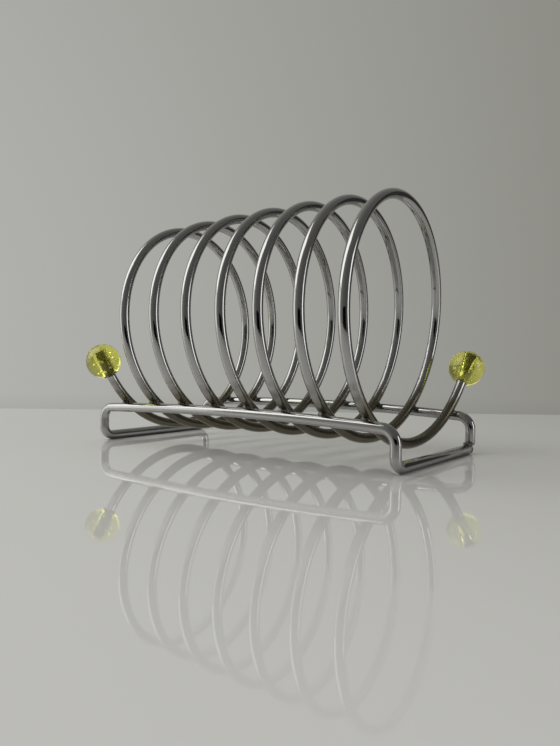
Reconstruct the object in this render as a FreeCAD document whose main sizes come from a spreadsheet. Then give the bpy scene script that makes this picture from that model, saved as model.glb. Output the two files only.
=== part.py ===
import FreeCAD, Part
import math
import os

# Toast rack of bent steel wire: a level coil, whose turns hold the slices, is welded on
# a low base bent from one length of the same wire. A clear ball closes each coil end.
#
# Frame: +X along the coil, +Y to the rear, +Z up. The origin is the middle of the
# footprint, on the table. All lengths are millimetres and all angles are degrees.

DIMENSIONS = {
    "wire_diameter": (4.2, "wire of both the coil and the base"),
    "coil_radius": (48.0, "coil axis to the middle of its wire, at the coil's middle"),
    "coil_growth": (0.23, "gain of the coil's radius in each turn, towards the right"),
    "coil_turns": (7, "whole turns between the first and the last lowest point"),
    "coil_pitch": (17.9, "advance along the coil for one turn"),
    "coil_offset": (2.6, "middle of the coil from the middle of the base, along X"),
    "arch_radius": (1360.0, "gentle rise of rails and coil to the middle of the rack"),
    "left_tail_angle": (60.0, "how far the wire curls up past its first lowest point"),
    "right_tail_angle": (57.0, "how far the wire curls up past its last lowest point"),
    "tail_straight": (1.0, "straight wire that shows between the curl and the ball"),
    "base_length": (153.2, "between the middles of the left and right legs"),
    "rail_spacing": (70.6, "between the middles of the front and rear rails"),
    "rail_height": (17.6, "middle of a rail's wire above the table, at mid length"),
    "top_bend_radius": (5.5, "middle of the wire, where a rail turns into a leg"),
    "foot_bend_radius": (4.5, "middle of the wire, where a leg turns into a crossbar"),
    "crossbar_shortfall": (1.6, "the wire's last end stops this far before its leg's middle"),
    "ball_diameter": (15.6, "clear ball on each end of the coil"),
    "wire_in_ball": (12.0, "length of wire end inside the ball"),
    "bore_clearance": (0.15, "between wire and bore, filled with glue"),
    "bore_end_gap": (0.5, "between the wire's end and the bottom of the bore"),
    "weld_gap": (0.06, "between coil and rail, bridged by the spot weld"),
    "weld_radius": (2.2, "bead of metal around each crossing of coil and rail"),
    "closing_weld_radius": (2.8, "bead where the two ends of the base wire meet"),
}

POINTS_PER_TURN = 24
STRETCH_TURNS = 0.016
PARTS_FOLDER = "parts"


# The document and its sheet of driving dimensions

def make_sheet(document):
    """Write every driving dimension to a cell of its own, with its name as the alias."""
    sheet = document.addObject("Spreadsheet::Sheet", "Dimensions")
    for row, (name, (value, meaning)) in enumerate(DIMENSIONS.items(), start=1):
        sheet.set(f"A{row}", name)
        sheet.set(f"B{row}", str(value))
        sheet.set(f"C{row}", meaning)
        sheet.setAlias(f"B{row}", name)
    document.recompute()
    return sheet


# Where the wires run

def on_arch(sheet, x, y, z):
    """Carry a point of the straight layout to the gently arched rack."""
    turn = x / sheet.arch_radius
    reach = sheet.arch_radius + z
    return FreeCAD.Vector(
        reach * math.sin(turn), y, reach * math.cos(turn) - sheet.arch_radius
    )


def turn_radius(sheet, turns):
    """The coil's radius, which grows a little from each turn to the next."""
    return sheet.coil_radius + sheet.coil_growth * (turns - sheet.coil_turns / 2)


def rail_reach(sheet, turns):
    """From the coil axis to the middle of a rail's wire."""
    return turn_radius(sheet, turns) + sheet.wire_diameter + sheet.weld_gap


def rail_angle(sheet, turns):
    """How far up from its lowest point the coil meets a rail, in radians."""
    return math.asin(sheet.rail_spacing / 2 / rail_reach(sheet, turns))


def axis_height(sheet, turns):
    """Height of the coil axis where the coil rests on both rails."""
    rise = rail_reach(sheet, turns) * math.cos(rail_angle(sheet, turns))
    return sheet.rail_height + rise


def around_coil(sheet, turns, outward=0):
    """A point this far outside the coil's middle line, counted in turns from the left."""
    angle = 2 * math.pi * turns
    radius = turn_radius(sheet, turns) + outward
    x = sheet.coil_offset + sheet.coil_pitch * (turns - sheet.coil_turns / 2)
    y = radius * math.sin(angle)
    z = axis_height(sheet, turns) - radius * math.cos(angle)
    return on_arch(sheet, x, y, z)


def coil_path(sheet):
    """The middle line of the coil: a helix with a short straight tail on each end."""
    first = -sheet.left_tail_angle / 360
    last = sheet.coil_turns + sheet.right_tail_angle / 360
    steps = round((last - first) * POINTS_PER_TURN)
    points = [
        around_coil(sheet, first + (last - first) * step / steps)
        for step in range(steps + 1)
    ]
    helix = Part.BSplineCurve()
    helix.interpolate(points)
    tail = sheet.tail_straight + sheet.wire_in_ball
    left_end = points[0] - helix.tangent(helix.FirstParameter)[0] * tail
    right_end = points[-1] + helix.tangent(helix.LastParameter)[0] * tail
    return Part.Wire([
        Part.LineSegment(left_end, points[0]).toShape(),
        helix.toShape(),
        Part.LineSegment(points[-1], right_end).toShape(),
    ])


def bend(start, end, centre):
    """A quarter bend of the wire from start to end, about the given centre."""
    middle = (start - centre) + (end - centre)
    middle.normalize()
    radius = (start - centre).Length
    return Part.Arc(start, centre + middle * radius, end).toShape()


def straight(start, end):
    """A straight run of the wire."""
    return Part.LineSegment(start, end).toShape()


def leg_top(sheet):
    """Height at which each leg runs into the bend under its rail."""
    bend_x = sheet.base_length / 2 - sheet.top_bend_radius
    reach = sheet.arch_radius + sheet.rail_height - sheet.top_bend_radius
    return math.sqrt(reach ** 2 - bend_x ** 2) - sheet.arch_radius


def leg_foot(sheet):
    """Height at which each leg runs into the bend above its crossbar."""
    return sheet.wire_diameter / 2 + sheet.foot_bend_radius


def rail(sheet, y, side):
    """One arched rail with the bend at each end, run towards +X or -X (side 1 or -1)."""
    radius = sheet.top_bend_radius
    height = sheet.rail_height
    bend_x = sheet.base_length / 2 - radius
    bend_z = leg_top(sheet)
    rail_radius = sheet.arch_radius + height
    outward = rail_radius / (rail_radius - radius)
    rail_x = bend_x * outward
    rail_z = (bend_z + sheet.arch_radius) * outward - sheet.arch_radius

    def at(x, z):
        return FreeCAD.Vector(side * x, y, z)

    first = at(-sheet.base_length / 2, bend_z)
    last = at(sheet.base_length / 2, bend_z)
    return [
        bend(first, at(-rail_x, rail_z), at(-bend_x, bend_z)),
        Part.Arc(at(-rail_x, rail_z), at(0, height), at(rail_x, rail_z)).toShape(),
        bend(at(rail_x, rail_z), last, at(bend_x, bend_z)),
    ]


def leg(sheet, x, y):
    """The upright run of a leg between its two bends, from the top down."""
    top = FreeCAD.Vector(x, y, leg_top(sheet))
    return straight(top, FreeCAD.Vector(x, y, leg_foot(sheet)))


def foot_bend(sheet, x, y):
    """The bend from the leg at (x, y) to the crossbar that runs to the other side."""
    radius = sheet.foot_bend_radius
    inward = -math.copysign(radius, y)
    floor = sheet.wire_diameter / 2
    on_leg = FreeCAD.Vector(x, y, floor + radius)
    on_crossbar = FreeCAD.Vector(x, y + inward, floor)
    return bend(on_leg, on_crossbar, FreeCAD.Vector(x, y + inward, floor + radius))


def closing_leg_foot(sheet):
    """Where the first end of the base wire stands, just above the last crossbar."""
    height = sheet.wire_diameter + sheet.weld_gap
    return FreeCAD.Vector(sheet.base_length / 2, sheet.rail_spacing / 2, height)


def base_path(sheet):
    """The middle line of the base: one wire that runs round and ends under its start."""
    right = sheet.base_length / 2
    rear = sheet.rail_spacing / 2
    floor = sheet.wire_diameter / 2
    bend_y = rear - sheet.foot_bend_radius
    start = closing_leg_foot(sheet)
    end_y = rear - sheet.crossbar_shortfall
    return Part.Wire([
        straight(start, FreeCAD.Vector(right, rear, leg_top(sheet))),
        *rail(sheet, rear, -1),
        leg(sheet, -right, rear),
        foot_bend(sheet, -right, rear),
        straight(FreeCAD.Vector(-right, bend_y, floor), FreeCAD.Vector(-right, -bend_y, floor)),
        foot_bend(sheet, -right, -rear),
        leg(sheet, -right, -rear),
        *rail(sheet, -rear, 1),
        leg(sheet, right, -rear),
        foot_bend(sheet, right, -rear),
        straight(FreeCAD.Vector(right, -bend_y, floor), FreeCAD.Vector(right, end_y, floor)),
    ])


# Sub-parts

def bent_wire(document, name, path):
    """Sweep the round wire along its path."""
    spine = document.addObject("Part::Feature", f"{name}_path")
    spine.Shape = path
    section = document.addObject("Part::Circle", f"{name}_section")
    section.setExpression("Radius", "Dimensions.wire_diameter / 2")
    first = path.OrderedEdges[0]
    heading = first.tangentAt(first.FirstParameter)
    turned = FreeCAD.Rotation(FreeCAD.Vector(0, 0, 1), heading)
    section.Placement = FreeCAD.Placement(path.OrderedVertexes[0].Point, turned)
    wire = document.addObject("Part::Sweep", name)
    wire.Sections = [section]
    wire.Spine = (spine, [f"Edge{number + 1}" for number in range(len(path.Edges))])
    wire.Solid = True
    wire.Frenet = False
    return wire


def tail_placement(path, at_start):
    """Frame of a coil end: origin at the wire's end, Z along the wire and outwards."""
    edge = path.OrderedEdges[0 if at_start else -1]
    vertex = path.OrderedVertexes[0 if at_start else -1]
    heading = edge.tangentAt(edge.FirstParameter)
    if at_start:
        heading = -heading
    return FreeCAD.Placement(
        vertex.Point, FreeCAD.Rotation(FreeCAD.Vector(0, 0, 1), heading)
    )


def ball(document, name, placement):
    """A clear ball, drilled from one side to take the wire's end."""
    sphere = document.addObject("Part::Sphere", f"{name}_blank")
    sphere.setExpression("Radius", "Dimensions.ball_diameter / 2")
    sphere.setExpression(
        "Placement.Base.z", "Dimensions.ball_diameter / 2 - Dimensions.wire_in_ball"
    )
    bore = document.addObject("Part::Cylinder", f"{name}_bore")
    bore.setExpression(
        "Radius", "Dimensions.wire_diameter / 2 + Dimensions.bore_clearance"
    )
    bore.setExpression("Height", "Dimensions.ball_diameter + Dimensions.bore_end_gap")
    bore.setExpression("Placement.Base.z", "-Dimensions.ball_diameter")
    drilled = cut(document, name, sphere, bore)
    drilled.Placement = placement
    return drilled


def glue(document, name, placement):
    """The glue that fills the bore between the ball and the wire's end."""
    filling = document.addObject("Part::Cylinder", f"{name}_filling")
    filling.setExpression(
        "Radius", "Dimensions.wire_diameter / 2 + Dimensions.bore_clearance"
    )
    filling.setExpression("Height", "Dimensions.wire_in_ball + Dimensions.bore_end_gap")
    filling.setExpression("Placement.Base.z", "-Dimensions.wire_in_ball")
    core = document.addObject("Part::Cylinder", f"{name}_core")
    core.setExpression("Radius", "Dimensions.wire_diameter / 2")
    core.setExpression("Height", "2 * Dimensions.wire_in_ball")
    core.setExpression("Placement.Base.z", "-2 * Dimensions.wire_in_ball")
    shell = cut(document, name, filling, core)
    shell.Placement = placement
    return shell


def coil_stretch(document, name, sheet, turns):
    """The short stretch of the coil's wire that passes through a weld bead."""
    points = [
        around_coil(sheet, turns + reach)
        for reach in (-STRETCH_TURNS, -STRETCH_TURNS / 2, 0, STRETCH_TURNS / 2, STRETCH_TURNS)
    ]
    middle_line = Part.BSplineCurve()
    middle_line.interpolate(points)
    return bent_wire(document, name, Part.Wire([middle_line.toShape()]))


def bead(document, name, radius_name, centre):
    """A round bead of weld metal, before the wires take their room in it."""
    sphere = document.addObject("Part::Sphere", name)
    sphere.setExpression("Radius", f"Dimensions.{radius_name}")
    sphere.Placement.Base = centre
    return sphere


def cut(document, name, base, tool):
    """One shape less another."""
    difference = document.addObject("Part::Cut", name)
    difference.Base = base
    difference.Tool = tool
    return difference


def rail_welds(document, name, sheet, side, base_frame):
    """The spot welds where the coil crosses one rail: front (side -1) or rear (side 1)."""
    outward = (sheet.wire_diameter + sheet.weld_gap) / 2
    beads = []
    for crossing in range(round(sheet.coil_turns) + 1):
        turns = crossing + side * rail_angle(sheet, crossing) / (2 * math.pi)
        label = f"{name}_{crossing + 1}"
        joint = around_coil(sheet, turns, outward)
        blob = bead(document, f"{label}_blob", "weld_radius", joint)
        stretch = coil_stretch(document, f"{label}_coil", sheet, turns)
        beads.append(cut(document, label, blob, stretch))
    row = document.addObject("Part::Compound", f"{name}_row")
    row.Links = beads
    return cut(document, name, row, base_frame)


def closing_weld(document, name, sheet, base_frame):
    """The bead that joins the two ends of the base wire, under the right rear leg."""
    joint = closing_leg_foot(sheet) - FreeCAD.Vector(0, sheet.crossbar_shortfall, 0)
    blob = bead(document, f"{name}_blob", "closing_weld_radius", joint)
    return cut(document, name, blob, base_frame)


# The whole rack

def build(document):
    """Make every sub-part and return them, each with its own name."""
    sheet = make_sheet(document)
    coil_line = coil_path(sheet)
    left_tail = tail_placement(coil_line, True)
    right_tail = tail_placement(coil_line, False)
    coil = bent_wire(document, "coil", coil_line)
    base_frame = bent_wire(document, "base_frame", base_path(sheet))
    return [
        coil,
        base_frame,
        ball(document, "ball_left", left_tail),
        ball(document, "ball_right", right_tail),
        glue(document, "glue_left", left_tail),
        glue(document, "glue_right", right_tail),
        rail_welds(document, "front_rail_welds", sheet, -1, base_frame),
        rail_welds(document, "rear_rail_welds", sheet, 1, base_frame),
        closing_weld(document, "base_closing_weld", sheet, base_frame),
    ]


def check(document, sub_parts):
    """Stop with a message if anything in the document failed to build."""
    for item in document.Objects:
        if "Invalid" in item.State or "Error" in item.State:
            raise RuntimeError(f"{item.Name} did not build: {item.State}")
    for part in sub_parts:
        if part.Shape.isNull() or not part.Shape.isValid() or not part.Shape.Solids:
            raise RuntimeError(f"{part.Name} has no valid solid")


def write(sub_parts):
    """Write each sub-part to a file named after it."""
    os.makedirs(PARTS_FOLDER, exist_ok=True)
    for part in sub_parts:
        part.Label = part.Name
        part.Shape.exportStep(os.path.join(PARTS_FOLDER, f"{part.Label}.step"))
        solids = len(part.Shape.Solids)
        print(f"{part.Label}: {solids} solid(s), {part.Shape.Volume:.1f} mm3")


rack = FreeCAD.newDocument("ToastRack")
pieces = build(rack)
rack.recompute()
check(rack, pieces)
write(pieces)
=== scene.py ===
# %% [markdown]
# # A coiled wire toast rack
# The rack is two lengths of bright chrome-plated wire. One is wound into a level coil
# whose turns hold the slices upright. The other is bent into a low base that carries the
# coil. A clear yellow-green ball closes each end of the coil. The CAD model is loaded
# first: it says where each piece is and how large. Each piece made here is compared with
# its CAD box: the wires and balls keep its sizes, the glue and the welds are smaller.

# %% Load the frame
import math
import random

import bmesh
import bpy
from mathutils import Matrix, Vector


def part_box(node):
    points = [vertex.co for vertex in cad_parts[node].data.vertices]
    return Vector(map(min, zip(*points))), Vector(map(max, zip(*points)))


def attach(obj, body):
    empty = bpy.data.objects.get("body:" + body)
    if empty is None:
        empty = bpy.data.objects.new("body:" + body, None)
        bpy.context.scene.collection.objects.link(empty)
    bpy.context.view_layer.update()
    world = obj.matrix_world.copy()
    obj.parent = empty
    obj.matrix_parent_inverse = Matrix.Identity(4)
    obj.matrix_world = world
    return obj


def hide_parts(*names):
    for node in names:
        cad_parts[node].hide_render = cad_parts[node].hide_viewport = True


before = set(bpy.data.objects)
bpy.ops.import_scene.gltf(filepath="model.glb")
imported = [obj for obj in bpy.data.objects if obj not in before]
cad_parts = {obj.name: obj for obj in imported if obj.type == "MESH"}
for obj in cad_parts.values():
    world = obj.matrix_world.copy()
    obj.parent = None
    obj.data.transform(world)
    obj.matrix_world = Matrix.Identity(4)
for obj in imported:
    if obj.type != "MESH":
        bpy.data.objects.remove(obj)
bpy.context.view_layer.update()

# %% [markdown]
# ## The measures of the rack
# A wire rack is set out from very few measures: the wire, the coil's radius and pitch, and
# the two rails. They are the measures of the real thing in metres, and the boxes of the CAD
# nodes give the ones that can be read from a box.

# %% Measures
base_low, base_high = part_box("base_frame")
ball_low, ball_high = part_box("ball_left")
wire_radius = 0.0021
leg_x = base_high.x - wire_radius
rail_y = (base_high.y - base_low.y) / 2 - wire_radius
rail_height = 0.0176
coil_radius = 0.048
coil_growth = 0.00023
coil_turns = 7
coil_pitch = 0.0179
coil_offset = 0.0026
arch_radius = 1.360
left_tail = math.radians(60)
right_tail = math.radians(57)
tail_length = 0.013
top_bend = 0.0055
foot_bend = 0.0045
crossbar_shortfall = 0.0016
weld_gap = 0.00006
ball_radius = (ball_high.x - ball_low.x) / 2
print("legs at", leg_x, "rails at", rail_y, "ball radius", ball_radius)

# %% [markdown]
# ## The line of the coil
# A spring like this could be drawn as a curve by hand, but its turns would never come out
# even. A rule does it better: how far round, how far along and how far out the wire is,
# and then the slight arch of the whole rack. The welds and the balls use the same rule,
# so they land exactly on the wire.

# %% Where the coil runs
def turn_radius(turns):
    """The coil's radius, which grows a little from each turn to the next."""
    return coil_radius + coil_growth * (turns - coil_turns / 2)


def rail_angle(turns):
    """How far up from its lowest point the coil meets a rail."""
    return math.asin(rail_y / (turn_radius(turns) + 2 * wire_radius + weld_gap))


def axis_height(turns):
    """Height of the coil's axis, where the coil rests on both rails."""
    reach = turn_radius(turns) + 2 * wire_radius + weld_gap
    return rail_height + reach * math.cos(rail_angle(turns))


def on_arch(along, side, height):
    """A point of the straight rack, carried to the gently arched one."""
    turn = along / arch_radius
    reach = arch_radius + height
    return Vector((reach * math.sin(turn), side, reach * math.cos(turn) - arch_radius))


def around_coil(turns, outward=0.0):
    """A point this far outside the coil's middle line, in turns from the left."""
    angle = 2 * math.pi * turns
    radius = turn_radius(turns) + outward
    along = coil_offset + coil_pitch * (turns - coil_turns / 2)
    height = axis_height(turns) - radius * math.cos(angle)
    return on_arch(along, radius * math.sin(angle), height)


print("the coil's axis is", axis_height(0), "to", axis_height(coil_turns), "above the table")

# %% [markdown]
# ## Helpers for working in edit mode
# Each piece is made as by hand: add a primitive, select part of it, extrude or spin it.
# These short helpers do the selecting, which a script has to do by place. The wire gets
# 32 sides, enough for its edge to look round close up.

# %% Helpers for edit mode
WIRE_SIDES = 32
CHAMFER = 0.00025
SAME_PLACE = 1e-6


def deselect_all():
    """Operators act on all that is selected, so each piece starts from nothing."""
    bpy.ops.object.select_all(action="DESELECT")


def select_where(piece, test):
    """Select the vertices of the piece in edit mode whose place passes the test."""
    bpy.ops.mesh.select_all(action="DESELECT")
    bpy.ops.mesh.select_mode(type="VERT")
    mesh = bmesh.from_edit_mesh(piece.data)
    for vertex in mesh.verts:
        vertex.select = test(vertex.co)
    mesh.select_flush(True)
    bmesh.update_edit_mesh(piece.data)


def start_wire(name, place, heading):
    """A ring of the wire's size at its place, square to the wire, left in edit mode."""
    deselect_all()
    turned = heading.to_track_quat("Z", "Y").to_euler()
    bpy.ops.mesh.primitive_circle_add(
        vertices=WIRE_SIDES, radius=wire_radius, location=place, rotation=turned
    )
    wire = bpy.context.object
    wire.name = name
    bpy.ops.object.transform_apply(location=True, rotation=True, scale=True)
    bpy.ops.object.mode_set(mode="EDIT")
    bpy.ops.mesh.select_all(action="SELECT")
    return wire


def run_straight(move):
    """Carry the open end of the wire straight on."""
    bpy.ops.mesh.extrude_region_move(TRANSFORM_OT_translate={"value": move})


def run_bend(centre, axis, angle, steps):
    """Carry the open end of the wire round a bend, right-handed about the axis."""
    bpy.ops.mesh.spin(steps=steps, angle=-angle, center=centre, axis=axis)


def close_end():
    """Cap the selected ring, a cut end of the wire, and break its sharp edge."""
    bpy.ops.mesh.edge_face_add()
    bpy.ops.mesh.bevel(offset=CHAMFER, segments=2, affect="EDGES")


def finish_mesh(piece, angle=35):
    """Point the faces outwards, leave edit mode and smooth all edges flatter than the angle."""
    bpy.ops.mesh.select_all(action="SELECT")
    bpy.ops.mesh.remove_doubles(threshold=SAME_PLACE)
    bpy.ops.mesh.normals_make_consistent(inside=False)
    bpy.ops.object.mode_set(mode="OBJECT")
    deselect_all()
    piece.select_set(True)
    bpy.context.view_layer.objects.active = piece
    bpy.ops.object.shade_smooth_by_angle(angle=math.radians(angle))


def compare(piece, node):
    """Print how far the piece's box is from its CAD node's box, in millimetres."""
    places = [vertex.co for vertex in piece.data.vertices]
    low = Vector(tuple(min(place[k] for place in places) for k in range(3)))
    high = Vector(tuple(max(place[k] for place in places) for k in range(3)))
    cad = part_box(node)
    off = [round(1000 * (a - b), 3) for a, b in zip((*low, *high), (*cad[0], *cad[1]))]
    print(piece.name, len(piece.data.polygons), "faces, off its CAD box by mm", off)


# %% [markdown]
# ## The coil
# The coil is wound cold on a round bar, so its wire is a true screw. A ring of the wire's
# size could be swept along a curve, but the Screw modifier winds it just as the machine
# does.

# %% Wind the coil
first_turn = -left_tail / (2 * math.pi)
last_turn = coil_turns + right_tail / (2 * math.pi)
lead = coil_pitch / (2 * math.pi * coil_radius)

# The coil is wound about the local Z axis, with the rack's up along local Y.
start = Vector((math.sin(-left_tail), -math.cos(left_tail), 0)) * coil_radius
start.z = coil_offset + coil_pitch * (first_turn - coil_turns / 2)
along_wire = Vector((math.cos(left_tail), math.sin(-left_tail), lead)).normalized()
coil = start_wire("coil_wire", start, along_wire)
bpy.ops.object.mode_set(mode="OBJECT")

STEPS_PER_TURN = 96
winding = coil.modifiers.new("winding", "SCREW")
winding.axis = "Z"
winding.angle = 2 * math.pi * (last_turn - first_turn)
winding.screw_offset = coil_pitch * (last_turn - first_turn)
winding.steps = round(STEPS_PER_TURN * (last_turn - first_turn))
winding.render_steps = winding.steps
bpy.ops.object.modifier_apply(modifier="winding")
print("coil wound in", len(coil.data.vertices) // WIRE_SIDES, "rings")

# %% [markdown]
# ## The coil in the rack
# In the rack the coil is no longer a perfect screw. Its turns open a little towards the
# right, each rests on both rails, and the whole is arched very slightly. The first two
# are a small move of every ring, by the rule above. The arch is a bend of the finished
# coil, as it is on the real one, and the Bend modifier keeps the wire round.

# %% Open the turns, rest them on the rails, arch the coil and lay it level
for vertex in coil.data.vertices:
    turns = (vertex.co.z - coil_offset) / coil_pitch + coil_turns / 2
    outward = Vector((vertex.co.x, vertex.co.y, 0)).normalized()
    vertex.co += outward * (turn_radius(turns) - coil_radius)
    vertex.co.y += axis_height(turns)
span = [vertex.co.z for vertex in coil.data.vertices]
arch = coil.modifiers.new("arch", "SIMPLE_DEFORM")
arch.deform_method = "BEND"
arch.deform_axis = "X"
arch.angle = -(max(span) - min(span)) / arch_radius
bpy.ops.object.modifier_apply(modifier="arch")
coil.rotation_euler = (math.radians(90), 0, math.radians(90))
bpy.ops.object.transform_apply(location=True, rotation=True, scale=True)
print("coil laid level over a length of", max(span) - min(span))

# %% [markdown]
# ## The ends of the coil
# At each end the wire leaves the screw and runs straight into its ball. The heading is
# measured from two near points of the screw, so the straight part leaves it smoothly.

# %% The place and heading of each coil end
SHORT = 0.0005
left_join = around_coil(first_turn)
left_heading = (left_join - around_coil(first_turn + SHORT)).normalized()
right_join = around_coil(last_turn)
right_heading = (right_join - around_coil(last_turn - SHORT)).normalized()
left_end = left_join + left_heading * tail_length
right_end = right_join + right_heading * tail_length
print("the coil ends at", left_end, "and", right_end)

# %% [markdown]
# ## The tails
# The wire's last straight part is one run, so the end ring is extruded once and capped.
# The ring leans a little after the arch, so it is looked for with a small margin. The
# wire is cut off with its edge broken, which a short bevel does.

# %% Draw out the straight tails and close their ends
RING_MARGIN = 1.1
bpy.context.view_layer.objects.active = coil
bpy.ops.object.mode_set(mode="EDIT")
for join, heading in ((left_join, left_heading), (right_join, right_heading)):
    select_where(coil, lambda co: (co - join).length < wire_radius * RING_MARGIN)
    run_straight(heading * tail_length)
    close_end()
finish_mesh(coil)
compare(coil, "coil")

# %% [markdown]
# ## The base
# The base is one wire too, bent in seven places until its end comes back under its
# start. Its rails follow the arch of the coil, so they rise a little to the middle, and
# the bends between rail and leg turn by a little less than a right angle. The places of
# the bends are worked out first, from the rails' height and spacing.

# %% The places of the bends
rail_radius = arch_radius + rail_height
top_bend_x = leg_x - top_bend
top_bend_z = math.sqrt((rail_radius - top_bend) ** 2 - top_bend_x ** 2) - arch_radius
half_rail_angle = math.atan2(top_bend_x, top_bend_z + arch_radius)
top_bend_angle = math.pi / 2 - half_rail_angle
foot_top = wire_radius + foot_bend
closing_foot = Vector((leg_x, rail_y, 2 * wire_radius + weld_gap))
print("top bends at x", top_bend_x, "and height", top_bend_z)

# %% [markdown]
# ## Bending the base
# The base could be a curve with a round bevel, but a bender works in straight runs and
# bends, and so does this: a ring is extruded for each run and spun for each bend. Each
# rail is one long spin, about a point far below the table.

# %% Bend the base
BEND_STEPS = 14
RAIL_STEPS = 48
base = start_wire("base_wire", closing_foot, Vector((0, 0, 1)))
run_straight(Vector((0, 0, top_bend_z - closing_foot.z)))
for side in (1, -1):
    # The rear rail runs to the left, the front rail to the right.
    turning = Vector((0, -side, 0))
    near = Vector((side * top_bend_x, side * rail_y, top_bend_z))
    far = Vector((-side * top_bend_x, side * rail_y, top_bend_z))
    run_bend(near, turning, top_bend_angle, BEND_STEPS)
    run_bend(Vector((0, side * rail_y, -arch_radius)), turning, 2 * half_rail_angle, RAIL_STEPS)
    run_bend(far, turning, top_bend_angle, BEND_STEPS)
    run_straight(Vector((0, 0, foot_top - top_bend_z)))
    # Down the leg, round the foot and along the crossbar to the other side.
    foot = Vector((-side * leg_x, side * (rail_y - foot_bend), foot_top))
    run_bend(foot, Vector((-side, 0, 0)), math.pi / 2, BEND_STEPS)
    if side == 1:
        run_straight(Vector((0, -2 * (rail_y - foot_bend), 0)))
        across = Vector((foot.x, -foot.y, foot.z))
        run_bend(across, Vector((-1, 0, 0)), math.pi / 2, BEND_STEPS)
        run_straight(Vector((0, 0, top_bend_z - foot_top)))
    else:
        run_straight(Vector((0, 2 * rail_y - foot_bend - crossbar_shortfall, 0)))
crossbar_end = Vector((leg_x, rail_y - crossbar_shortfall, wire_radius))
close_end()
select_where(base, lambda co: abs(co.z - closing_foot.z) < SAME_PLACE)
close_end()
finish_mesh(base)
compare(base, "base_frame")

# %% [markdown]
# ## The balls
# Each ball is cast clear, then drilled from one side for the wire. A sphere primitive has
# its pole on the drill's axis, so the faces round the pole are removed and the open edge
# is carried inwards as the mouth, the bore and the drill's cone. The glue wets the bore,
# so the bore's faces get a finish of their own. One ball is drilled and then copied.

# %% Drill a ball
BORE_CLEARANCE = 0.00015
BORE_SPARE = 0.0005
bore_radius = wire_radius + BORE_CLEARANCE
wire_in_ball = 0.012
bore_end = wire_in_ball - ball_radius + BORE_SPARE
RIM_MARGIN = 1.02
MOUTH_DEPTH = 0.0002
CONE_DEPTH = 0.0006
BALL_RINGS = 52
INSIDE = 0.97
IN_BORE = 1
BUBBLE = 2


def copy_of(piece, name):
    """A copy of the piece, with a mesh of its own."""
    deselect_all()
    piece.select_set(True)
    bpy.context.view_layer.objects.active = piece
    bpy.ops.object.duplicate(linked=False)
    double = bpy.context.object
    double.name = name
    return double


def drill_ball(name):
    """A ball with a blind bore from below, about the Z axis."""
    deselect_all()
    bpy.ops.mesh.primitive_uv_sphere_add(
        segments=2 * BALL_RINGS, ring_count=BALL_RINGS, radius=ball_radius
    )
    ball = bpy.context.object
    ball.name = name
    bpy.ops.object.mode_set(mode="EDIT")
    mouth = math.sqrt(ball_radius ** 2 - (bore_radius * RIM_MARGIN) ** 2)
    select_where(ball, lambda co: co.z < -mouth)
    bpy.ops.mesh.delete(type="VERT")
    lowest = min(vertex.co.z for vertex in bmesh.from_edit_mesh(ball.data).verts)
    select_where(ball, lambda co: co.z < lowest + SAME_PLACE)
    narrower = bore_radius / math.sqrt(ball_radius ** 2 - lowest ** 2)
    run_straight(Vector((0, 0, MOUTH_DEPTH)))
    bpy.ops.transform.resize(value=(narrower, narrower, 1))
    run_straight(Vector((0, 0, bore_end - lowest - MOUTH_DEPTH)))
    run_straight(Vector((0, 0, CONE_DEPTH)))
    bpy.ops.mesh.merge(type="CENTER")
    finish_mesh(ball, angle=50)
    for face in ball.data.polygons:
        if face.center.length < ball_radius * INSIDE:
            face.material_index = IN_BORE
    return ball


ball_left = drill_ball("ball_left_clear")
ball_right = copy_of(ball_left, "ball_right_clear")
print("ball drilled to", bore_end + ball_radius, "deep with", len(ball_left.data.polygons), "faces")

# %% [markdown]
# ## The bubbles in the balls
# The cast ball has crazed round its wire and holds small bubbles there, which catch the
# light. A noise in the finish could only mottle the surface, so each bubble is a real
# small ball, a little flattened, copied from one and placed by a seeded draw. Its inside
# is air, so its finish bends light the other way from the ball's own.

# %% Bubbles
BUBBLES = 26
BUBBLE_SIZES = (0.0003, 0.0007)
BUBBLE_GAPS = (0.0006, 0.0013)
BUBBLE_HEIGHTS = (-0.55 * ball_radius, 0.6 * ball_radius)


def add_bubbles(ball, seed):
    """Small flattened bubbles round the bore of a ball that stands on the Z axis."""
    draw = random.Random(seed)
    deselect_all()
    bpy.ops.mesh.primitive_ico_sphere_add(subdivisions=3, radius=1)
    bpy.ops.object.shade_smooth()
    first = bpy.context.object
    bubbles = [first] + [copy_of(first, "bubble") for _ in range(BUBBLES - 1)]
    deselect_all()
    for bubble in bubbles:
        angle = draw.uniform(0, 2 * math.pi)
        height = draw.uniform(*BUBBLE_HEIGHTS)
        reach = bore_radius + draw.uniform(*BUBBLE_GAPS)
        radius = draw.uniform(*BUBBLE_SIZES)
        bubble.location = (reach * math.cos(angle), reach * math.sin(angle), height)
        bubble.rotation_euler = [draw.uniform(0, math.pi) for _ in range(3)]
        bubble.scale = Vector((1, draw.uniform(0.7, 1), draw.uniform(0.35, 0.8))) * radius
        bubble.select_set(True)
    bpy.context.view_layer.objects.active = first
    bpy.ops.object.transform_apply(location=True, rotation=True, scale=True)
    cast_faces = len(ball.data.polygons)
    ball.select_set(True)
    bpy.context.view_layer.objects.active = ball
    bpy.ops.object.join()
    for face in ball.data.polygons[cast_faces:]:
        face.material_index = BUBBLE
    print(ball.name, "holds", BUBBLES, "bubbles")


add_bubbles(ball_left, 4)
add_bubbles(ball_right, 9)

# %% [markdown]
# ## The glue
# The wire's end is set in its bore with clear glue, which has yellowed and hides most of
# the wire. Its sleeve is a ring of the wire's size, widened to the bore at the mouth and
# extruded up the bore to its end. It is left open at the mouth, where the wire fills it.

# %% Fill a bore
ON_WIRE = 1.005
IN_BALL = 0.985
LIP_DEPTH = 0.00005
SLEEVE_CONE = 0.0003


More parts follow.
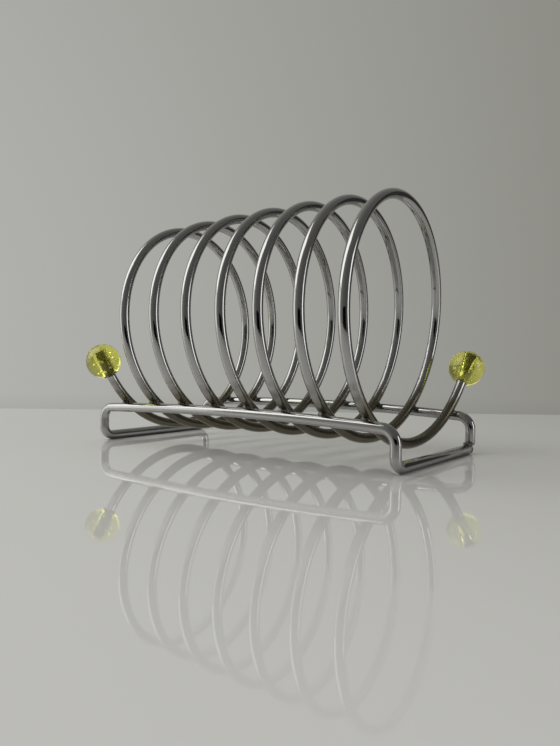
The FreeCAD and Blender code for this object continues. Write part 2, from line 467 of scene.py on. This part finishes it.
def make_sleeve(name):
    """The sleeve of glue in a bore, about the Z axis."""
    deselect_all()
    mouth = -math.sqrt(ball_radius ** 2 - bore_radius ** 2)
    bpy.ops.mesh.primitive_circle_add(
        vertices=48, radius=wire_radius * ON_WIRE, location=(0, 0, mouth)
    )
    glue = bpy.context.object
    glue.name = name
    bpy.ops.object.transform_apply(location=True, rotation=True, scale=True)
    bpy.ops.object.mode_set(mode="EDIT")
    bpy.ops.mesh.select_all(action="SELECT")
    wider = bore_radius / wire_radius * IN_BALL
    run_straight(Vector((0, 0, LIP_DEPTH)))
    bpy.ops.transform.resize(value=(wider, wider, 1))
    run_straight(Vector((0, 0, bore_end - mouth - SLEEVE_CONE)))
    run_straight(Vector((0, 0, SLEEVE_CONE)))
    bpy.ops.mesh.merge(type="CENTER")
    finish_mesh(glue, angle=50)
    return glue


glue_left = make_sleeve("glue_left_sleeve")
glue_right = copy_of(glue_left, "glue_right_sleeve")

# %% [markdown]
# ## Putting the balls on
# The balls and sleeves were made upright at the origin, where their numbers are simple.
# Now each is turned to its end of the coil and pushed on, and the turn is applied, so
# that the finished piece stands unturned at the origin like every other one.

# %% Put the balls and the glue on the coil's ends
def push_on(piece, end, heading):
    """Turn the piece from the Z axis to the wire's heading and carry it to its end."""
    deselect_all()
    piece.select_set(True)
    bpy.context.view_layer.objects.active = piece
    piece.rotation_mode = "QUATERNION"
    piece.rotation_quaternion = heading.to_track_quat("Z", "Y")
    piece.location = end - heading * (wire_in_ball - ball_radius)
    bpy.ops.object.transform_apply(location=True, rotation=True, scale=True)
    piece.rotation_mode = "XYZ"


for piece in (ball_left, glue_left):
    push_on(piece, left_end, left_heading)
for piece in (ball_right, glue_right):
    push_on(piece, right_end, right_heading)
for piece, node in (
    (ball_left, "ball_left"), (ball_right, "ball_right"),
    (glue_left, "glue_left"), (glue_right, "glue_right"),
):
    compare(piece, node)

# %% [markdown]
# ## The welds
# A spot welder presses the coil on the rail and melts both at the crossing, which leaves
# a small uneven bead in the corners between the two wires. One bead is a ball of
# triangles; each crossing gets a copy of it, flattened across the joint and turned to
# lie along its own two wires. Only a rim of weld shows beside the wires, so the beads
# are up to about half a millimetre smaller on each side than the CAD's solid ones.

# %% Weld the coil to the rails
RAIL_BEAD = (0.0019, 0.0021, 0.0009)
NEARBY = 0.001

deselect_all()
bpy.ops.mesh.primitive_ico_sphere_add(subdivisions=4, radius=1)
bpy.ops.object.shade_smooth()
first_bead = bpy.context.object


def lay_bead(bead, size, place, out, rail):
    """Lay the bead on its joint: out is across the joint, rail along the rail."""
    across = out.cross(rail).normalized()
    along = across.cross(out).normalized()
    facing = Matrix((along, across, out.normalized())).transposed()
    bead.matrix_world = Matrix.LocRotScale(place, facing, Vector(size))


def weld_row(name, side):
    """The beads of one rail, joined to one piece: front (side -1) or rear (side 1)."""
    beads = []
    for crossing in range(coil_turns + 1):
        turns = crossing + side * rail_angle(crossing) / (2 * math.pi)
        place = around_coil(turns, wire_radius + weld_gap / 2)
        out = place - around_coil(turns)
        rail = on_arch(place.x + NEARBY, 0, 0) - on_arch(place.x - NEARBY, 0, 0)
        beads.append(copy_of(first_bead, f"{name}_{crossing}"))
        lay_bead(beads[-1], RAIL_BEAD, place, out, rail)
    deselect_all()
    for bead in beads:
        bead.select_set(True)
    bpy.context.view_layer.objects.active = beads[0]
    bpy.ops.object.transform_apply(location=True, rotation=True, scale=True)
    bpy.ops.object.join()
    beads[0].name = name
    return beads[0]


front_welds = weld_row("front_weld_beads", -1)
rear_welds = weld_row("rear_weld_beads", 1)

# %% [markdown]
# ## The closing weld
# The base wire's two ends meet at the right rear foot, the crossbar's end under the
# leg's. They are joined by one more copy of the bead, a little larger. It shows only
# between the two wires, so it is much flatter than the CAD's bead, which is a ball with
# the wires cut out of it. After that the first bead has no more use.

# %% Weld the base wire's two ends
CLOSING_BEAD = (0.0024, 0.0023, 0.0009)
closing_joint = closing_foot - Vector((0, crossbar_shortfall, weld_gap / 2))
closing_weld = copy_of(first_bead, "closing_weld_bead")
lay_bead(closing_weld, CLOSING_BEAD, closing_joint, Vector((0, 0, 1)), Vector((1, 0, 0)))
bpy.ops.object.transform_apply(location=True, rotation=True, scale=True)
bpy.data.meshes.remove(first_bead.data)
for piece, node in (
    (front_welds, "front_rail_welds"), (rear_welds, "rear_rail_welds"),
    (closing_weld, "base_closing_weld"),
):
    compare(piece, node)

# %% [markdown]
# ## Helpers for the finishes
# No finish on the real rack is the same all over, so each is mixed from noise on the
# piece's own coordinates, which keeps it in place from every side. These helpers add the
# few nodes that every finish needs.

# %% Node helpers
def new_finish(name):
    """A material with its shader, ready for nodes."""
    finish = bpy.data.materials.new(name)
    finish.use_nodes = True
    return finish, finish.node_tree, finish.node_tree.nodes["Principled BSDF"]


def noise(tree, place, scale, detail):
    """A noise pattern on the place vector."""
    node = tree.nodes.new("ShaderNodeTexNoise")
    node.inputs["Scale"].default_value = scale
    node.inputs["Detail"].default_value = detail
    tree.links.new(place, node.inputs["Vector"])
    return node.outputs["Fac"]


def between(tree, factor, low, high):
    """Carry a 0 to 1 pattern to the range low to high."""
    node = tree.nodes.new("ShaderNodeMapRange")
    node.inputs["From Min"].default_value = 0.3
    node.inputs["From Max"].default_value = 0.7
    node.inputs["To Min"].default_value = low
    node.inputs["To Max"].default_value = high
    tree.links.new(factor, node.inputs["Value"])
    return node.outputs["Result"]


def object_place(tree):
    """The place on the piece, in metres."""
    return tree.nodes.new("ShaderNodeTexCoord").outputs["Object"]


def bump(tree, height, distance):
    """A bump from a height pattern, with its depth in metres."""
    node = tree.nodes.new("ShaderNodeBump")
    node.inputs["Strength"].default_value = 1.0
    node.inputs["Distance"].default_value = distance
    tree.links.new(height, node.inputs["Height"])
    return node.outputs["Normal"]


# %% [markdown]
# ## Chrome plate
# The wire is nickel and chrome plated: a metal shader that is almost a mirror, with a
# faint waviness from drawing and bending. Low on the coil the plate is dulled, and its
# colour is a painted dark brown reflection; at the cut end of the base the colour is a
# painted near-black shade. Both are the same kind of change, from a painted dark tone to
# the bright one, so one function makes them: it fades with the height above the table on
# the coil, and with the distance from the joint on the base, and noise makes the edge ragged.

# %% Chrome plate
CHROME = (0.43, 0.427, 0.42)
# A painted dark brown reflection, low on the coil.
PAINTED_BROWN_REFLECTION = (0.17, 0.155, 0.115)
# A painted shade, near black, at the base wire's cut end.
PAINTED_END_SHADE = (0.02, 0.018, 0.016)
RAGGED = 1.5
DULL = 0.26
POLISHED = (0.05, 0.10)


def chrome_plate(name, painted_tone, dark_until, bright_from, measure):
    """Chrome with the painted tone where the measure is low, plain bright chrome where it is high.
    """
    finish, tree, shader = new_finish(name)
    place = object_place(tree)
    edge = (bright_from - dark_until) * RAGGED
    ragged = tree.nodes.new("ShaderNodeMath")
    ragged.operation = "MULTIPLY_ADD"
    ragged.inputs[1].default_value = edge
    tree.links.new(noise(tree, place, scale=220, detail=4), ragged.inputs[0])
    tree.links.new(measure(tree, place), ragged.inputs[2])
    bright = tree.nodes.new("ShaderNodeMapRange")
    bright.inputs["From Min"].default_value = dark_until + edge / 2
    bright.inputs["From Max"].default_value = bright_from + edge / 2
    tree.links.new(ragged.outputs["Value"], bright.inputs["Value"])
    tones = tree.nodes.new("ShaderNodeValToRGB")
    tones.color_ramp.elements[0].color = (*painted_tone, 1)
    tones.color_ramp.elements[1].color = (*CHROME, 1)
    tree.links.new(bright.outputs["Result"], tones.inputs["Fac"])
    tree.links.new(tones.outputs["Color"], shader.inputs["Base Color"])
    shader.inputs["Metallic"].default_value = 1.0
    dulled = tree.nodes.new("ShaderNodeMapRange")
    dulled.inputs["To Min"].default_value = DULL
    tree.links.new(bright.outputs["Result"], dulled.inputs["Value"])
    polished = between(tree, noise(tree, place, scale=900, detail=4), *POLISHED)
    tree.links.new(polished, dulled.inputs["To Max"])
    tree.links.new(dulled.outputs["Result"], shader.inputs["Roughness"])
    wavy = bump(tree, noise(tree, place, scale=160, detail=2), distance=0.00004)
    tree.links.new(wavy, shader.inputs["Normal"])
    return finish


def height_above_table(tree, place):
    """How high a place on the piece is, in metres."""
    parts = tree.nodes.new("ShaderNodeSeparateXYZ")
    tree.links.new(place, parts.inputs["Vector"])
    return parts.outputs["Z"]


def distance_from_joint(tree, place):
    """How far a place on the piece is from a point low on the crossbar's cut end, the middle of its
    painted shade.
    """
    far = tree.nodes.new("ShaderNodeVectorMath")
    far.operation = "DISTANCE"
    far.inputs[1].default_value = crossbar_end + Vector((wire_radius, 0, -wire_radius / 2))
    tree.links.new(place, far.inputs[0])
    return far.outputs["Value"]


# The base's cut end gets its painted near-black shade.
base_chrome = chrome_plate(
    "chrome_plate", PAINTED_END_SHADE, dark_until=0.0016, bright_from=0.0028, measure=distance_from_joint
)
# The coil gets its painted dark brown reflection low down, fading out with height.
coil_chrome = chrome_plate(
    "plate_painted_brown_low", PAINTED_BROWN_REFLECTION, dark_until=0.021, bright_from=0.031, measure=height_above_table
)
print("chrome made for the base and the coil")

# %% [markdown]
# ## Weld metal
# The beads were plated with the wire, but the plate took badly on the burnt metal. So
# they are rougher and lumpier than the wire, and noise runs from scorched brown to grey.

# %% Weld metal
BURNT = (0.10, 0.085, 0.07)
PLATED = (0.42, 0.40, 0.37)


def weld_metal():
    """Weld metal, scorched brown where it melted and only half covered by the plate."""
    finish, tree, shader = new_finish("plated_weld")
    place = object_place(tree)
    shader.inputs["Metallic"].default_value = 1.0
    tones = tree.nodes.new("ShaderNodeValToRGB")
    tones.color_ramp.elements[0].position = 0.4
    tones.color_ramp.elements[0].color = (*BURNT, 1)
    tones.color_ramp.elements[1].position = 0.65
    tones.color_ramp.elements[1].color = (*PLATED, 1)
    tree.links.new(noise(tree, place, scale=700, detail=3), tones.inputs["Fac"])
    tree.links.new(tones.outputs["Color"], shader.inputs["Base Color"])
    roughness = between(tree, noise(tree, place, scale=1500, detail=4), low=0.22, high=0.4)
    tree.links.new(roughness, shader.inputs["Roughness"])
    lumpy = bump(tree, noise(tree, place, scale=900, detail=3), distance=0.00012)
    tree.links.new(lumpy, shader.inputs["Normal"])
    return finish


welded = weld_metal()
print("weld metal made")

# %% [markdown]
# ## The clear materials
# The ball, its crazed bore, the air in a bubble and the glue are all one kind of shader,
# which lets light through and bends it. They differ in how much they bend it: a bubble
# is thinner than the ball round it, so its index is under 1, and where glue touches the
# bore the step is so small that the edge almost disappears.

# %% Clear materials
def clear_finish(name, tone, bend, rough, lump_size, lump_depth, clear=1.0):
    """A clear material: bend is its index against what lies on its outer side."""
    finish, tree, shader = new_finish(name)
    place = object_place(tree)
    shader.inputs["Transmission Weight"].default_value = clear
    shader.inputs["IOR"].default_value = bend
    shader.inputs["Base Color"].default_value = (*tone, 1)
    roughness = between(tree, noise(tree, place, scale=700, detail=3), rough / 2, rough)
    tree.links.new(roughness, shader.inputs["Roughness"])
    lumpy = bump(tree, noise(tree, place, scale=1 / lump_size, detail=3), lump_depth)
    tree.links.new(lumpy, shader.inputs["Normal"])
    return finish


lime = clear_finish(
    "clear_lime", tone=(0.85, 0.84, 0.17), bend=1.5, rough=0.03,
    lump_size=0.003, lump_depth=0.00004,
)
crazed = clear_finish(
    "crazed_bore", tone=(0.60, 0.58, 0.14), bend=1.03, rough=0.3,
    lump_size=0.0014, lump_depth=0.0002, clear=0.8,
)
bubble = clear_finish(
    "air_bubble", tone=(1.0, 1.0, 0.96), bend=0.667, rough=0.02,
    lump_size=0.0006, lump_depth=0.00003,
)
glued = clear_finish(
    "set_glue", tone=(0.42, 0.40, 0.12), bend=1.2, rough=0.3,
    lump_size=0.0012, lump_depth=0.0003, clear=0.45,
)
print("clear materials made:", lime.name, crazed.name, bubble.name, glued.name)

# %% [markdown]
# ## Putting the finishes on
# A ball has three finishes, in the order of the numbers its faces were given. Each piece
# is hung on the body it rides on, and the CAD node it stands for is hidden. Each row also
# names the part's material that its finishes stand for.

# %% Put the finishes on
for piece, finishes, slot, node in (
    (coil, [coil_chrome], "chrome_wire", "coil"),
    (base, [base_chrome], "chrome_wire", "base_frame"),
    (ball_left, [lime, crazed, bubble], "green_glass", "ball_left"),
    (ball_right, [lime, crazed, bubble], "green_glass", "ball_right"),
    (glue_left, [glued], "clear_glue", "glue_left"),
    (glue_right, [glued], "clear_glue", "glue_right"),
    (front_welds, [welded], "weld_metal", "front_rail_welds"),
    (rear_welds, [welded], "weld_metal", "rear_rail_welds"),
    (closing_weld, [welded], "weld_metal", "base_closing_weld"),
):
    for finish in finishes:
        piece.data.materials.append(finish)
    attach(piece, "root")
    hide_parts(node)
    print(piece.name, "has", len(finishes), "finishes")

# %% [markdown]
# ## The view
# Pale walls and bright metal keep their plain tones with the Standard view. A filmic
# view would grey the white lines on the wires.

# %% The view
bpy.context.scene.view_settings.view_transform = "Standard"
print("view:", bpy.context.scene.view_settings.view_transform)

# %% [markdown]
# ## The camera
# The rack is seen from just above the table, from its right front. The lens is a little
# wide, so the near right end looks much larger than the far left one.

# %% Camera
azimuth = math.radians(36.276)
elevation = math.radians(1.141)
roll = math.radians(0.667)
distance = 0.29995
aim = Vector((0.00122, 0, 0.03314))
back = Vector((
    math.sin(azimuth) * math.cos(elevation),
    -math.cos(azimuth) * math.cos(elevation),
    math.sin(elevation),
))
turned = (
    Matrix.Rotation(azimuth, 3, "Z")
    @ Matrix.Rotation(math.pi / 2 - elevation, 3, "X")
    @ Matrix.Rotation(roll, 3, "Z")
)
bpy.ops.object.camera_add(location=aim + back * distance, rotation=turned.to_euler())
camera = bpy.context.object
camera.data.lens = 32.08
camera.data.clip_start = 0.01
bpy.context.scene.camera = camera
print("camera at", camera.location)

# %% [markdown]
# ## The table
# The rack stands on a table of white lacquer, which mirrors more the flatter it is looked
# along. A plane is enough for it: it ends a hand's breadth behind the rack, where the
# wall begins, and the lacquer's slight unevenness comes from its roughness.

# %% Table
WHITE = (0.80, 0.795, 0.77)
TABLE_WIDTH = 5
TABLE_REAR = 0.2
TABLE_FRONT = 0.45
deselect_all()
bpy.ops.mesh.primitive_plane_add(size=1, rotation=(0, 0, azimuth))
table = bpy.context.object
table.name = "table_top"
table.scale = (TABLE_WIDTH, TABLE_REAR + TABLE_FRONT, 1)
level_back = Vector((back.x, back.y, 0)).normalized()
table.location = level_back * (TABLE_FRONT - TABLE_REAR) / 2
bpy.ops.object.transform_apply(location=True, rotation=True, scale=True)
finish, tree, shader = new_finish("white_lacquer")
place = object_place(tree)
shader.inputs["Base Color"].default_value = (*WHITE, 1)
shader.inputs["IOR"].default_value = 1.5
lacquer = between(tree, noise(tree, place, scale=25, detail=3), low=0.02, high=0.035)
tree.links.new(lacquer, shader.inputs["Roughness"])
table.data.materials.append(finish)
print("table", TABLE_WIDTH, "by", TABLE_REAR + TABLE_FRONT)

# %% [markdown]
# ## The room
# Chrome has hardly a colour of its own: it shows the room. So the room is laid out as a
# real one would be: the wall is palest on the left, dimmer towards the right, and darkens
# a little down to the table, and the room behind the viewer is dim.

# %% Room
PALE_SIDE = (-0.99, 0.12, 0)
SHADE_FROM = -0.078
SHADE_TO = -0.05
world = bpy.data.worlds.new("room")
bpy.context.scene.world = world
world.use_nodes = True
room = world.node_tree
facing = room.nodes.new("ShaderNodeTexCoord").outputs["Generated"]
lit_wall = room.nodes.new("ShaderNodeVectorMath")
lit_wall.operation = "DOT_PRODUCT"
lit_wall.inputs[1].default_value = PALE_SIDE
room.links.new(facing, lit_wall.inputs[0])
spread = room.nodes.new("ShaderNodeMapRange")
spread.inputs["From Min"].default_value = -1
room.links.new(lit_wall.outputs["Value"], spread.inputs["Value"])
tones = room.nodes.new("ShaderNodeValToRGB")
room.links.new(spread.outputs["Result"], tones.inputs["Fac"])
wall_tones = (
    (0.0, (0.11, 0.11, 0.108)),
    (0.35, (0.15, 0.15, 0.147)),
    (0.50, (0.20, 0.198, 0.19)),
    (0.64, (0.26, 0.258, 0.232)),
    (0.84, (0.36, 0.36, 0.335)),
    (1.0, (0.46, 0.465, 0.44)),
)
ramp = tones.color_ramp
while len(ramp.elements) < len(wall_tones):
    ramp.elements.new(0.5)
for element, (position, tone) in zip(ramp.elements, wall_tones):
    element.position = position
    element.color = (*tone, 1)
height = room.nodes.new("ShaderNodeSeparateXYZ")
room.links.new(facing, height.inputs["Vector"])
low_shade = room.nodes.new("ShaderNodeMapRange")
low_shade.inputs["From Min"].default_value = SHADE_FROM
low_shade.inputs["From Max"].default_value = SHADE_TO
low_shade.inputs["To Min"].default_value = 0.9
room.links.new(height.outputs["Z"], low_shade.inputs["Value"])
background = room.nodes["Background"]
room.links.new(tones.outputs["Color"], background.inputs["Color"])
room.links.new(low_shade.outputs["Result"], background.inputs["Strength"])
print("room with", len(ramp.elements), "wall tones")

# %% [markdown]
# ## The windows
# Two windows draw the long white lines on the wires: a high one on the left, with a
# dimmer pane below it, and a low one on the right. Each is a soft rectangle of light that
# faces the rack. A wide ceiling light brightens the table and is kept out of reflections.

# %% Windows
LIGHT_DISTANCE = 1.5


def soft_light(name, direction, height, width, tall, watts):
    """A soft light: its direction and its height are angles in degrees."""
    deselect_all()
    direction, height = math.radians(direction), math.radians(height)
    place = LIGHT_DISTANCE * Vector((
        math.sin(direction) * math.cos(height),
        -math.cos(direction) * math.cos(height),
        math.sin(height),
    ))
    upright = place.to_track_quat("Z", "Y").to_euler()
    bpy.ops.object.light_add(type="AREA", location=place, rotation=upright)
    lamp = bpy.context.object
    lamp.name = name
    lamp.data.shape = "RECTANGLE"
    lamp.data.size = width
    lamp.data.size_y = tall
    lamp.data.energy = watts
    lamp.visible_camera = False
    print(name, "at", place)
    return lamp


soft_light("window_left", direction=-58, height=45, width=1.0, tall=1.3, watts=7.0)
soft_light("window_left_low", direction=-60, height=9, width=1.0, tall=0.6, watts=1.9)
soft_light("window_right", direction=108, height=14, width=0.5, tall=0.85, watts=2.7)
ceiling = soft_light("ceiling", direction=-60, height=74, width=2.0, tall=1.6, watts=7.0)
ceiling.visible_glossy = False

# %% [markdown]
# ## The dark cards
# Chrome needs something dark to show its form. In a studio black cards do this, and so do
# these two: one stands behind the viewer and one in the far right corner. Only the
# reflections show them.

# %% Dark cards
BLACK = (0.004, 0.004, 0.004)
DARK_GREY = (0.08, 0.078, 0.075)


def dark_card(name, place, heading, width, tall, tone):
    """A matt card that only reflections show, square to its heading."""
    deselect_all()
    upright = heading.to_track_quat("Z", "Y").to_euler()
    bpy.ops.mesh.primitive_plane_add(size=1, location=place, rotation=upright)
    card = bpy.context.object
    card.name = name
    card.scale = (width, tall, 1)
    bpy.ops.object.transform_apply(location=True, rotation=True, scale=True)
    card.visible_camera = False
    card.visible_shadow = False
    card.visible_diffuse = False
    card.visible_transmission = False
    finish, _, shader = new_finish(name)
    shader.inputs["Base Color"].default_value = (*tone, 1)
    shader.inputs["Specular IOR Level"].default_value = 0.0
    card.data.materials.append(finish)
    print(name, "at", place)


viewer_side = level_back * 0.42 + Vector((0, 0, 0.055))
dark_card("card_viewer", viewer_side, -level_back, width=0.36, tall=0.11, tone=BLACK)
corner = Matrix.Rotation(math.radians(152), 3, "Z") @ Vector((0, -1, 0))
corner_side = corner * 0.7 + Vector((0, 0, 0.2))
dark_card("card_corner", corner_side, -corner, width=0.32, tall=0.42, tone=DARK_GREY)
